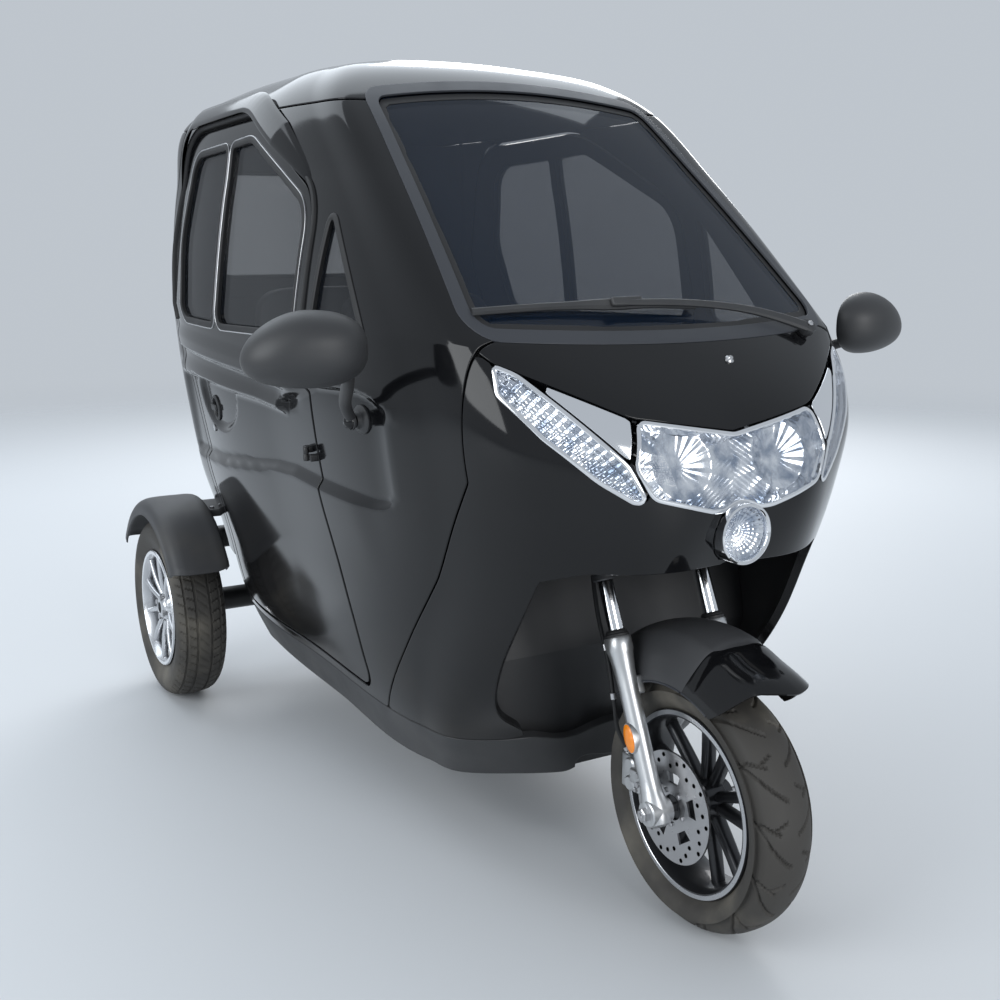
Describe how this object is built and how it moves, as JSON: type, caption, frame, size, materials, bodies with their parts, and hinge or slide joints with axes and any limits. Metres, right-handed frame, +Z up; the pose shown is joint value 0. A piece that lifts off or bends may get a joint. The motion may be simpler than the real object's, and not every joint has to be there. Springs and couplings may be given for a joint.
{
  "type": "three-wheeled cabin car",
  "caption": "Closed cabin three-wheeler: steered front wheel on a raked fork, hollow gloss body with side doors, windscreen, mirrors, seats and mudguarded rear wheels.",
  "frame": {"origin": "on the floor under the middle of the vehicle's length and width", "axes": "+Z up, +Y towards the tail, +X to the vehicle's left"},
  "size_m": [1.494, 2.2109, 1.648],
  "materials": {
    "body_black": "gloss",
    "trim_grey": "matte",
    "glass": "clear",
    "screen_glass": "tinted",
    "lamp_clear": "clear",
    "lamp_chrome": "polished",
    "lamp_red": "gloss",
    "amber": "gloss",
    "frame_black": "satin",
    "fork_silver": "satin",
    "steel": "brushed",
    "rim_dark": "satin",
    "rim_silver": "satin",
    "tyre": "matte",
    "seat": "matte",
    "cabin_plastic": "matte",
    "battery": "matte"
  },
  "bodies": {
    "root": {"nose_fairing": "body_black", "hood": "body_black", "headlamp_lens": "lamp_clear", "lamp_plates": "lamp_chrome", "lamp_strips": "lamp_clear", "round_lamp": "lamp_chrome", "windscreen": "screen_glass", "wiper": "trim_grey", "side_frame_left": "body_black", "side_frame_right": "body_black", "quarter_glass": "glass", "roof": "body_black", "rain_visors": "body_black", "tail_body": "body_black", "rear_window": "glass", "tail_lamps": "lamp_red", "rear_bumper": "trim_grey", "skirt": "trim_grey", "wheel_liner": "trim_grey", "chassis": "frame_black", "floor_pan": "trim_grey", "battery_box": "battery", "driver_seat": "seat", "passenger_seat": "seat", "dashboard": "cabin_plastic", "mirror_left": "trim_grey", "mirror_right": "trim_grey", "rear_axle": "frame_black", "rear_springs": "steel", "rear_mudguard_left": "trim_grey", "rear_mudguard_right": "trim_grey"},
    "steering": {"fork": "fork_silver", "handlebar": "frame_black", "front_mudguard": "body_black", "caliper": "fork_silver", "fork_reflectors": "amber"},
    "front_wheel": {"front_tyre": "tyre", "front_rim": "rim_dark", "front_disc": "steel"},
    "rear_wheel_left": {"rear_tyre_left": "tyre", "rear_rim_left": "rim_silver"},
    "rear_wheel_right": {"rear_tyre_right": "tyre", "rear_rim_right": "rim_silver"},
    "left_door": {"door_left": "body_black", "door_glass_left": "glass", "door_handle_left": "frame_black"},
    "right_door": {"door_right": "body_black", "door_glass_right": "glass", "door_handle_right": "frame_black"}
  },
  "joints": [
    {"name": "steer", "type": "hinge", "parent": "root", "child": "steering", "pos_m": [0, -0.63945, 0.65], "axis": [0, 0.4131, 0.9107], "range_deg": [-35, 35]},
    {"name": "front_wheel_spin", "type": "hinge", "parent": "steering", "child": "front_wheel", "pos_m": [0, -0.8625, 0.243], "axis": [1, 0, 0], "continuous": true},
    {"name": "rear_wheel_left_spin", "type": "hinge", "parent": "root", "child": "rear_wheel_left", "pos_m": [0.497, 0.8405, 0.247], "axis": [1, 0, 0], "continuous": true},
    {"name": "rear_wheel_right_spin", "type": "hinge", "parent": "root", "child": "rear_wheel_right", "pos_m": [-0.497, 0.8405, 0.247], "axis": [1, 0, 0], "continuous": true},
    {"name": "left_door_swing", "type": "hinge", "parent": "root", "child": "left_door", "pos_m": [0.497, -0.1765, 0.9], "axis": [0, 0, -1], "range_deg": [0, 65]},
    {"name": "right_door_swing", "type": "hinge", "parent": "root", "child": "right_door", "pos_m": [-0.497, -0.1765, 0.9], "axis": [0, 0, 1], "range_deg": [0, 65]}
  ]
}
